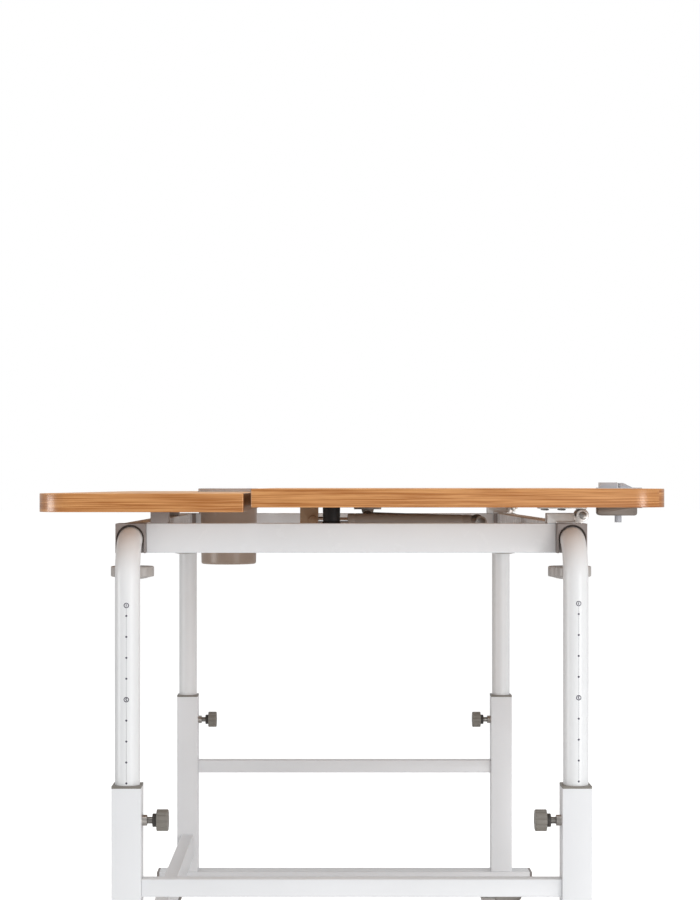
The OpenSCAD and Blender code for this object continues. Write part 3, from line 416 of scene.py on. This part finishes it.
# Strength of the white surroundings, as light and in reflections; a camera ray sees them at strength 1
WORLD_LIGHT, WORLD_MIRRORED = 0.58, 0.62
world = bpy.data.worlds.new("studio")
scene.world = world
world.use_nodes = True
sky = world.node_tree
sky.nodes.clear()
path = add(sky, "LightPath")
mirrored = spread(sky, path.outputs["Is Glossy Ray"], 0.0, 1.0, WORLD_LIGHT, WORLD_MIRRORED)
strength = add(sky, "Math", {"operation": "MAXIMUM"}, i0=mirrored, i1=path.outputs["Is Camera Ray"])
light = add(sky, "Background", Color=(1, 1, 1, 1), Strength=strength.outputs[0])
sky.links.new(light.outputs[0], add(sky, "OutputWorld").inputs[0])

# Half the floor's side, its tone, and its glow towards the camera, which makes it white but for the shadow
REACH, FLOOR_TONE, FLOOR_GLOW = 60.0, 0.86, 0.53
floor_mesh = bpy.data.meshes.new("floor")
square = [(-REACH, -REACH, 0), (REACH, -REACH, 0), (REACH, REACH, 0), (-REACH, REACH, 0)]
floor_mesh.from_pydata(square, [], [(0, 1, 2, 3)])
floor = bpy.data.objects.new("floor", floor_mesh)
bpy.context.scene.collection.objects.link(floor)
floor_paint = bpy.data.materials.new("floor_paint")
floor_paint.use_nodes = True
tree = floor_paint.node_tree
tree.nodes.clear()
matt = add(tree, "BsdfDiffuse", Color=(FLOOR_TONE, FLOOR_TONE, FLOOR_TONE, 1))
path = add(tree, "LightPath")
seen = spread(tree, path.outputs["Is Camera Ray"], 0.0, 1.0, 0.0, FLOOR_GLOW)
glow = add(tree, "Emission", Color=(1, 1, 1, 1), Strength=seen)
lit = add(tree, "AddShader", i0=matt.outputs[0], i1=glow.outputs[0])
tree.links.new(lit.outputs[0], add(tree, "OutputMaterial").inputs[0])
floor_mesh.materials.append(floor_paint)


# Boards

DIAGONAL = 0.707


def outline(lo, hi, radii, steps=12):
    """Points and outward normals round a rectangle whose corners have these radii.
    It starts at the front right and goes anticlockwise."""
    spots, normals = [], []
    corners = ((hi[0], lo[1], 1, -1, -90), (hi[0], hi[1], 1, 1, 0),
               (lo[0], hi[1], -1, 1, 90), (lo[0], lo[1], -1, -1, 180))
    for (x, y, sx, sy, start), r in zip(corners, radii):
        a = np.radians(np.linspace(start, start + 90, steps))
        normal = np.stack([np.cos(a), np.sin(a)], -1)
        spots.append(np.array([x - sx * r, y - sy * r]) + r * normal)
        normals.append(normal)
    return np.concatenate(spots), np.concatenate(normals)


def board(name, node, radii, rings, inner, edge=0.0008):
    """Laminated board: outline carried round its edge, whose radius is edge. rings are the hole's outlines
    with their heights, upwards; inner is the direction along Y of the edge at the gap between the boards,
    whose edge band gets painted shade."""
    lo, hi = (np.array(v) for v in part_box(node))
    spots, normals = outline(lo, hi, radii)
    a = np.radians(np.linspace(0, 90, 5))
    inset = edge * np.concatenate([1 - np.sin(a), (1 - np.sin(a))[::-1]])
    level = np.concatenate([lo[2] + edge * (1 - np.cos(a)), hi[2] - edge * (1 - np.cos(a))[::-1]])
    rim = np.empty((len(level), len(spots), 3))
    rim[..., :2] = spots[None] - inset[:, None, None] * normals[None]
    rim[..., 2] = level[:, None]
    wall = np.stack([np.column_stack([ring, np.full(len(ring), z)]) for ring, z in rings])
    points, faces = join((rim, False, True), (wall, False, True))
    facing = np.tile(normals, (len(level) - 1, 1))
    # Edge faces towards the gap take the band of painted shade, the other ends the front band
    ends = np.where(facing[:, 1] * inner > DIAGONAL, GAP_SHADE, FRONT)
    bands = np.where(np.abs(facing[:, 0]) > DIAGONAL, SIDE, ends)
    n, m = len(spots), wall.shape[1]
    kinds = list(bands) + [FRONT] * (m * (len(rings) - 1))
    faces = [tuple(f) for f in faces.tolist()]
    for row, hole_start, kind in ((0, rim.shape[0] * n, UNDER), (len(level) - 1, len(points) - m, UPPER)):
        numbers = [*range(row * n, row * n + n), *range(hole_start, hole_start + m)]
        loops = [[tuple(points[i]) for i in loop] for loop in (numbers[:n], numbers[n:])]
        for corner in tessellate_polygon(loops):
            faces.append(tuple(numbers[i] for i in corner))
            kinds.append(kind)
    place(build(name, points.tolist(), faces, 50.0, kinds), BOARD_COATS, BODY[node], node)


def rectangle(lo, hi, grow, radius=0.0008):
    """Outline of a box's plan, grown all round."""
    return outline((lo[0] - grow, lo[1] - grow), (hi[0] + grow, hi[1] + grow), (radius,) * 4, 4)[0]


# Holes, each from the board's underside up
REBATE, CUP_HOLE_R, CUP_SEAT_R = 0.001, 0.04475, 0.0485
POCKET_H, SHAFT_D, STOP_PLAY, BEZEL_PLAY = 0.0028, 0.021, 0.0008, 0.0003
cup_lo, cup_hi = (np.array(v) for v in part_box("cup"))
cup_at = (cup_lo + cup_hi) / 2
around = np.linspace(0, TAU, 72, endpoint=False)
circle = np.stack([np.cos(around), np.sin(around)], -1)
shelf_lo, shelf_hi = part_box("shelf")
seat_z = shelf_hi[2] - REBATE
drop_hole = [(cup_at[:2] + r * circle, z) for r, z in (
    (CUP_HOLE_R, shelf_lo[2]), (CUP_HOLE_R, seat_z), (CUP_SEAT_R, seat_z), (CUP_SEAT_R, shelf_hi[2]))]
stop_lo, stop_hi = (np.array(v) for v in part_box("stop_block"))
bezel_lo, bezel_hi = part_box("stop_bezel")
work_lo, work_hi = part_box("tilt_board")
pocket_z, bezel_z = work_lo[2] + POCKET_H, work_hi[2] - REBATE
pocket = rectangle(stop_lo, stop_hi, STOP_PLAY)
shaft = rectangle((stop_lo[0], stop_hi[1] - SHAFT_D), stop_hi, STOP_PLAY)
seat = rectangle(bezel_lo, bezel_hi, BEZEL_PLAY)
stop_hole = [(pocket, work_lo[2]), (pocket, pocket_z), (shaft, pocket_z), (shaft, bezel_z),
             (seat, bezel_z), (seat, work_hi[2])]
OUTER_R, GAP_R = 0.040, 0.002
board("shelf_board", "shelf", (GAP_R, OUTER_R, OUTER_R, GAP_R), drop_hole, -1)
board("work_board", "tilt_board", (OUTER_R, GAP_R, GAP_R, OUTER_R), stop_hole, 1)


# Legs with their scale marks

TUBE_R, TUBE_WALL, BEND_R = 0.015, 0.0015, 0.045


def leg_frame(corner):
    """Axis x and y, arm height, low end, outward sign and arm end of a leg."""
    lo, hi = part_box("leg_" + corner)
    out = -1 if corner[1] == "l" else 1
    axis_x = (lo[0] if out < 0 else hi[0]) - out * TUBE_R
    return axis_x, (lo[1] + hi[1]) / 2, hi[2] - TUBE_R, lo[2], out, (hi[0] if out < 0 else lo[0])


def leg_tube(corner):
    """Circle carried up the leg, round the bend and along the arm, then back inside as the bore."""
    x, y, arm_z, low, out, arm_end = leg_frame(corner)
    turn = np.radians(np.linspace(0, 90, 22))
    bend = np.stack([x - out * BEND_R * (1 - np.cos(turn)), arm_z - BEND_R + BEND_R * np.sin(turn)], -1)
    spine = np.concatenate([[(x, low)], bend, [(arm_end, arm_z)]])
    lean = np.concatenate([[0], turn, [math.pi / 2]])
    across = np.stack([np.cos(lean) * out, np.sin(lean)], -1)
    a = np.linspace(0, TAU, 56, endpoint=False)
    rows = []
    for radius, order in ((TUBE_R, slice(None)), (TUBE_R - TUBE_WALL, slice(None, None, -1))):
        ring = np.empty((len(spine), len(a), 3))
        ring[..., 0] = spine[:, None, 0] + across[:, None, 0] * radius * np.cos(a)
        ring[..., 1] = y + radius * np.sin(a)
        ring[..., 2] = spine[:, None, 1] + across[:, None, 1] * radius * np.cos(a)
        rows.append(ring[order])
    piece = surface("tube_" + corner, (np.concatenate(rows), True, True))
    place(piece, tube_enamel, "carriage", "leg_" + corner)


DIGITS = {"1": [[(-0.25, 0.55), (0.1, 0.9), (0.1, -0.9)]],
          "2": [[(-0.5, 0.5), (-0.3, 0.85), (0.25, 0.9), (0.5, 0.5), (0.3, 0.05), (-0.5, -0.9), (0.5, -0.9)]]}
DIGIT_W, DIGIT_H, DIGIT_STROKE, HAIRLINE, INK_PROUD = 0.0014, 0.0016, 0.0010, 0.0002, 0.00006
DOT, DIGIT_RING = (0.0001, 0.00125), (0.0022, 0.0032)
SCALE_TOP, SCALE_PITCH, DOTS, LOWER_NUMBER = 0.6101, 0.02488, 9, 4
LINE_RISE, NUMBER_RISE = 0.0095, 0.0125
# The front left leg's print is turned by so many radians and stands so much higher
FL_TURN, FL_RISE = 0.12, 0.0023


def scale_marks(corner):
    """Printed scale on the tube's outer side: a thin line, evenly spaced dots and two ringed numbers, one
    above the dots and one in place of the dot LOWER_NUMBER."""
    x, y, _, _, out, _ = leg_frame(corner)

    def wrap(across, up):
        """Flat print wrapped on the tube."""
        turn = across / TUBE_R - (FL_TURN if corner == "fl" else 0)
        r = TUBE_R + INK_PROUD
        return np.stack([x + out * r * np.cos(turn), y + r * np.sin(turn), up], -1)

    def ring(up, radii, steps):
        """Flat ring between two radii."""
        a, r = np.linspace(0, TAU, steps, endpoint=False)[None, :], np.array(radii)[:, None]
        return wrap(r * np.cos(a), up + r * np.sin(a)), False, True

    def stroke(points, width):
        """Line of an even width through the points."""
        points = np.asarray(points, float)
        along = np.gradient(points, axis=0)
        along /= np.linalg.norm(along, axis=1)[:, None]
        side = np.stack([-along[:, 1], along[:, 0]], -1) * width / 2
        both = np.stack([points - side, points + side])
        return wrap(both[..., 0], both[..., 1]), False, False

    first = SCALE_TOP + (FL_RISE if corner == "fl" else 0)
    grids = [stroke([(0, first + LINE_RISE), (0, first - (DOTS - 1) * SCALE_PITCH)], HAIRLINE)]
    for i in range(DOTS):
        if i != LOWER_NUMBER:
            grids.append(ring(first - i * SCALE_PITCH, DOT, 12))
    for up, digit in ((first + NUMBER_RISE, "1"), (first - LOWER_NUMBER * SCALE_PITCH, "2")):
        grids.append(ring(up, DIGIT_RING, 28))
        for line in DIGITS[digit]:
            points = [(DIGIT_W * px * -out, up + DIGIT_H * pz) for px, pz in line]
            grids.append(stroke(points, DIGIT_STROKE))
    place(surface("scale_" + corner, *grids), mark_ink, "carriage", slot="knob_plastic")


# A dark ring paints the shadow of the gap round each leg's mouth: its outer radius, its thickness, how far its
# base is sunk into the block's face, and its gap to the tube
SHADOW_RING_R, SHADOW_RING_T, SHADOW_RING_SUNK, SHADOW_RING_GAP = 0.0166, 0.0004, 0.0002, 0.0001


def leg_shadow_ring(corner):
    """Dark ring of painted shadow in the gap where the leg enters its corner block."""
    _, y, arm_z, _, out, _ = leg_frame(corner)
    block_lo, block_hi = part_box("corner_blocks")
    face = (block_lo[0] if out < 0 else block_hi[0]) - out * SHADOW_RING_SUNK
    section = [(TUBE_R + SHADOW_RING_GAP, 0), (SHADOW_RING_R, 0), (SHADOW_RING_R, SHADOW_RING_T), (TUBE_R + SHADOW_RING_GAP, SHADOW_RING_T)]
    ring, _, _ = turned(section, (face, y, arm_z), (out, 0, 0))
    place(surface("leg_shadow_ring_" + corner, (ring, True, True)), gap_shadow_paint, "carriage", slot="knob_plastic")


for corner in CORNERS:
    leg_tube(corner)
    scale_marks(corner)
    leg_shadow_ring(corner)


# Frame, base and fittings with softly rounded edges

NUT_H, HOUSING_LIP = 0.0058, 0.006


def nut_of(corner):
    """Test for the faces of a sleeve's welded nut, on the side towards the middle of the desk."""
    lo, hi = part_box("sleeve_" + corner)
    if corner[0] == "f":
        return lambda centre: centre.y > hi[1] - NUT_H
    return lambda centre: centre.y < lo[1] + NUT_H


for corner in CORNERS:
    softened("sleeve_" + corner, 0.0026, [sleeve_enamel, zinc_sheet], nut_of(corner))
for node, width, coat in [
    ("sleeve_caps", 0.0006, clamp_plastic),
    ("foot_left", 0.0026, sleeve_enamel), ("foot_right", 0.0026, sleeve_enamel),
    ("foot_caps", 0.0016, block_plastic),
    ("side_stretchers", 0.0020, sleeve_enamel), ("rear_beam", 0.0024, sleeve_enamel),
    ("castor_sockets", 0.0006, knob_plastic), *[("castor_fork_" + c, 0.0008, zinc_sheet) for c in CORNERS],
    ("brake_pedal_fl", 0.0007, knob_plastic), ("brake_pedal_fr", 0.0007, knob_plastic),
    ("corner_blocks", 0.0014, block_plastic), ("side_rail_left", 0.0024, white_enamel),
    ("side_rail_right", 0.0024, white_enamel), ("long_rail_front", 0.0024, white_enamel),
    ("long_rail_rear", 0.0024, white_enamel), ("channel", 0.0007, sleeve_enamel),
    ("gas_bracket", 0.0005, zinc_sheet), ("stay_bracket", 0.0005, zinc_sheet),
    ("frame_pins", 0.0005, bolt_steel),
    ("shelf_spacers", 0.0012, block_plastic), ("hinge_bases", 0.0008, bright_zinc),
    ("hinge_pins", 0.0004, bolt_steel),
    ("hinge_leaves", 0.0004, zinc_sheet), ("gas_lug", 0.0005, lug_steel), ("stay_lug", 0.0005, zinc_sheet),
    ("stop_bezel", 0.0003, stop_plastic), ("stop_block", 0.0010, stop_plastic),
    ("stay_lower_link", 0.0006, link_steel), ("stay_upper_link", 0.0006, link_steel),
]:
    softened(node, width, coat)


def under_housing(a, b):
    """Test for the outer edges underneath the stop's housing; its lip reaches further at the front."""
    lo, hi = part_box("stop_housing")
    walls = ((0, lo[0]), (0, hi[0]), (1, lo[1] + HOUSING_LIP), (1, hi[1]))
    return max(a.z, b.z) < lo[2] + 1e-4 and any(abs(a[i] - at) + abs(b[i] - at) < 2e-4 for i, at in walls)


softened("stop_housing", 0.0028, housing_plastic, picked=under_housing)


# Turned pieces


def corner_knob(corner):
    """Flat hand knob: an underside that rises towards the lobed rim, and a screw."""
    lo, hi = (np.array(v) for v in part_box("corner_knob_" + corner))
    centre = ((lo[0] + hi[0]) / 2, (lo[1] + hi[1]) / 2, lo[2])
    r, t, tall = (hi[0] - lo[0]) / 2, 0.016, hi[2] - lo[2]
    profile = [(0, 0.0012), (0.006, 0.0012), (0.007, 0.0), (0.011, 0.0002), (0.016, 0.0010),
               (r - 0.005, 0.0026)]
    profile += arc(r - 0.0016, 0.0048, 0.0016, -80, 0, 5)
    profile += arc(r - 0.0015, t - 0.0015, 0.0015, 0, 90, 4)
    profile += [(0.0075, t), (0.006, t + 0.001), (0.006, tall), (0, tall)]

    def rim(a, radius, height):
        """Sixteen broad lobes, full at the rim and fading inwards."""
        return radius - 0.0009 * (0.5 - 0.5 * np.cos(16 * a)) * np.clip((radius - r + 0.007) / 0.006, 0, 1)

    piece = surface("hand_knob_" + corner, turned(profile, centre, (0, 0, 1), 240, rim))
    place(piece, knob_plastic, "corner_knob_" + corner, "corner_knob_" + corner)


def sleeve_knob(corner):
    """Clamp knob: screw, collar and a head with nine rounded flutes."""
    lo, hi = (np.array(v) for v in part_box("sleeve_knob_" + corner))
    inward = 1 if corner[0] == "f" else -1
    start = lo[1] if inward > 0 else hi[1]
    centre, r = ((lo[0] + hi[0]) / 2, start, (lo[2] + hi[2]) / 2), 0.013
    # Where the knob ends and where its head and its collar start, from the screw's tip
    end = hi[1] - lo[1]
    head = end - 0.014
    collar = head - 0.005
    screw = [(0, 0), (0.0035, 0), (0.004, 0.0008), (0.004, collar + 0.001), (0, collar + 0.001)]
    profile = [(0, head)] + arc(r - 0.0008, head + 0.0008, 0.0008, -90, 0, 5)
    profile += arc(r - 0.0014, end - 0.0014, 0.0014, 0, 90, 6)
    profile += [(0.005, end), (0.004, end - 0.0006), (0, end - 0.0006)]

    def rim(a, radius, height):
        """Flutes deepest at the rim, fading towards the axis."""
        fade = np.clip((radius - 0.006) / 0.007, 0, 1) ** 2
        return radius - 0.0017 * np.clip(np.cos(9 * a) - 0.15, 0, 1) * fade

    axis = (0, inward, 0)
    sleeve = barrel(0.008, collar, head, 0.0008, 0.0041)
    for label, (points, _, _), closed, coat in (
            ("clamp_screw_", turned(screw, centre, axis, 32), False, bolt_steel),
            ("clamp_collar_", turned(sleeve, centre, axis, 48), True, knob_dark),
            ("clamp_knob_", turned(profile, centre, axis, 180, rim), False, clamp_plastic)):
        piece = surface(label + corner, (points, closed, True))
        place(piece, coat, "sleeve_knob_" + corner, "sleeve_knob_" + corner)


def castor_wheel(corner):
    """Castor wheel: a tyre with rounded shoulders on a hub whose sides are recessed."""
    lo, hi = (np.array(v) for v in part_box("castor_wheel_" + corner))
    centre, r, w = (lo + hi) / 2, (hi[2] - lo[2]) / 2, (hi[0] - lo[0]) / 2
    tyre = arc(r - 0.003, -w + 0.0035, 0.003, -90, 0, 5) + arc(r - 0.003, w - 0.0035, 0.003, 0, 90, 5)
    tyre += [(r - 0.0055, w - 0.0005), (r - 0.0055, -w + 0.0005)]
    half = [(0.0041, w), (0.008, w), (0.0088, w - 0.0022), (r - 0.0085, w - 0.0026), (r - 0.0070, w - 0.0010),
            (r - 0.0056, w - 0.0010)]
    hub = [(p, -h) for p, h in half] + half[::-1]
    for label, profile, steps, coat in (("tyre_", tyre, 96, tyre_rubber), ("hub_", hub, 80, knob_plastic)):
        ring, _, _ = turned(profile, centre, (1, 0, 0), steps)
        piece = surface(label + corner, (ring, True, True))
        place(piece, coat, "wheel_" + corner, "castor_wheel_" + corner)


for corner in CORNERS:
    corner_knob(corner)
    sleeve_knob(corner)
    castor_wheel(corner)


def bumpers():
    """Rubber feet that point up: a thin base, a tapered body and a rounded tip with a dimple."""
    lo, hi = (np.array(v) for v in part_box("bumpers"))
    y = (lo[1] + hi[1]) / 2
    h = hi[2] - lo[2]
    profile = [(0, 0)] + arc(0.0109, 0.0006, 0.0006, -90, 0, 4) + arc(0.0109, 0.0014, 0.0006, 0, 80, 4)
    profile += [(0.0104, 0.0024)] + arc(0.0091, h - 0.0016, 0.0016, 3, 90, 7)
    profile += [(0.004, h), (0.0035, h - 0.0008), (0, h - 0.0008)]
    grids = [turned(profile, (x, y, lo[2]), (0, 0, 1), 56) for x in (lo[0] + 0.0115, hi[0] - 0.0115)]
    place(surface("rubber_stops", *grids), bumper_rubber, "carriage", "bumpers")


def cup():
    """Drop-in cup: straight wall with a rounded foot, and a paler flange with two beads."""
    low, top = cup_lo[2], cup_hi[2]
    r, mouth, flange, under = 0.0425, 0.04425, 0.048, top - 0.0062
    bowl = [(0, low + 0.001), (0.036, low + 0.001), (0.0365, low)]
    bowl += arc(r - 0.003, low + 0.003, 0.003, -88, 0, 7)
    bowl += [(mouth, under + 0.0010), (mouth, top - 0.0020), (r - 0.0024, top - 0.0020)]
    bowl += arc(r - 0.0065, low + 0.0065, 0.004, 0, -90, 6) + [(0, low + 0.0025)]
    rim = arc(flange - 0.0014, under + 0.0014, 0.0014, -90, 60, 6) + [(flange - 0.0014, under + 0.0030)]
    rim += arc(flange - 0.0018, top - 0.0018, 0.0014, -40, 80, 6)
    rim += arc(r - 0.0010, top - 0.0015, 0.0015, 90, 180, 5)
    rim += [(r - 0.0025, top - 0.0022), (mouth + 0.0003, top - 0.0022), (mouth + 0.0003, under)]
    for label, profile, closed, coat in (("drop_in_cup", bowl, False, cup_plastic),
                                         ("cup_rim", rim, True, rim_plastic)):
        points, _, _ = turned([(p, z - low) for p, z in profile], (cup_at[0], cup_at[1], low), (0, 0, 1), 96)
        place(surface(label, (points, closed, True)), coat, "cup", "cup")


# Middles of the gas spring's lower and upper eye, how far its cylinder reaches, and its eyes' size
GAS_F, GAS_A = np.array((-0.017, -0.193, 0.713)), np.array((-0.017, 0.050, 0.716))
CYLINDER_REACH, EYE_R, EYE_HALF_W = 0.193, 0.008, 0.005


def gas_spring():
    """Gas spring along its own axis: eyes, crimped cylinder, polished rod with a hexagon fitting."""
    length, mouth = np.linalg.norm(GAS_A - GAS_F), CYLINDER_REACH
    along = (GAS_A - GAS_F) / length
    case = [(0, 0.006), (0.0045, 0.006), (0.0045, 0.014)] + arc(0.008, 0.016, 0.002, -90, 0, 4)
    case += [(0.010, 0.024), (0.0094, 0.0255), (0.0094, 0.0275), (0.010, 0.029), (0.010, mouth - 0.013)]
    case += [(0.0093, mouth - 0.0115), (0.0093, mouth - 0.0095), (0.010, mouth - 0.008)]
    case += arc(0.0075, mouth - 0.0025, 0.0025, 0, 90, 5)
    case += [(0.0046, mouth), (0.0043, mouth - 0.001), (0.0043, 0.021), (0, 0.021)]
    eye, _, _ = turned(barrel(EYE_R, -EYE_HALF_W, EYE_HALF_W, 0.0007, 0.0041), GAS_F, (1, 0, 0), 48)
    piece = surface("spring_case", turned(case, GAS_F, along, 72), (eye, True, True))
    place(piece, spring_paint, "gas_cylinder", "gas_cylinder")
    rod = [(0, 0.030), (0.004, 0.030), (0.004, length - 0.0255), (0, length - 0.0255)]
    fitting = [(0, length - 0.026), (0.0040, length - 0.026), (0.0045, length - 0.0252),
               (0.0045, length - 0.006), (0, length - 0.006)]

    def hexagon(a, radius, height):
        """Six flats on the part of the fitting that is next to the rod."""
        flat = 0.0039 / np.cos((a + math.pi / 6) % (math.pi / 3) - math.pi / 6)
        return np.minimum(radius + 0 * a, np.where(height > length - 0.018, radius + 0 * a, flat))

    piece = surface("spring_rod", turned(rod, GAS_F, along, 40), turned(fitting, GAS_F, along, 48, hexagon),
                    turned(barrel(EYE_R, -EYE_HALF_W, EYE_HALF_W, 0.0007), GAS_A, (1, 0, 0), 48))
    place(piece, rod_chrome, "gas_rod", "gas_rod")


# A screw's dome radius and height, and half the width, the reach and the depth of its cross
DOME_R, DOME_H, CROSS_HALF_W, CROSS_REACH, CROSS_DEPTH = 0.0032, 0.0004, 0.00045, 0.0023, 0.0007


def screws():
    """Pan head screws: a low dome with a cross recess, sunk where either arm of the cross passes."""
    boxes = frame["nodes"]["lug_screws"].data
    points = np.empty(len(boxes.vertices) * 3)
    boxes.vertices.foreach_get("co", points)
    points = points.reshape(-1, 3)
    centres = []
    for p in points:
        if not any(math.hypot(p[0] - c[0], p[1] - c[1]) < 0.006 for c in centres):
            near = points[np.hypot(points[:, 0] - p[0], points[:, 1] - p[1]) < 0.0085]
            lo, hi = near.min(axis=0), near.max(axis=0)
            centres.append(((lo[0] + hi[0]) / 2, (lo[1] + hi[1]) / 2, lo[2], hi[2]))
    dome = np.linspace(0, DOME_R, 9)
    r = np.concatenate([dome, [0.0037, 0.0040, 0.0040, 0.0025]])[:, None]
    a = np.linspace(0, TAU, 48, endpoint=False)[None, :]
    cross = (np.minimum(np.abs(r * np.cos(a)), np.abs(r * np.sin(a))) < CROSS_HALF_W) & (r < CROSS_REACH)
    grids = []
    for x, y, low, high in centres:
        z = np.concatenate([DOME_H * (dome / DOME_R) ** 2, [0.0006, 0.0011, 0.0014, high - low]])[:, None]
        z = z + CROSS_DEPTH * cross
        grids.append((np.stack([x + r * np.cos(a), y + r * np.sin(a), low + z], -1), False, True))
    place(surface("pan_screws", *grids), bolt_steel, "top", "lug_screws")


bumpers()
cup()
gas_spring()
screws()
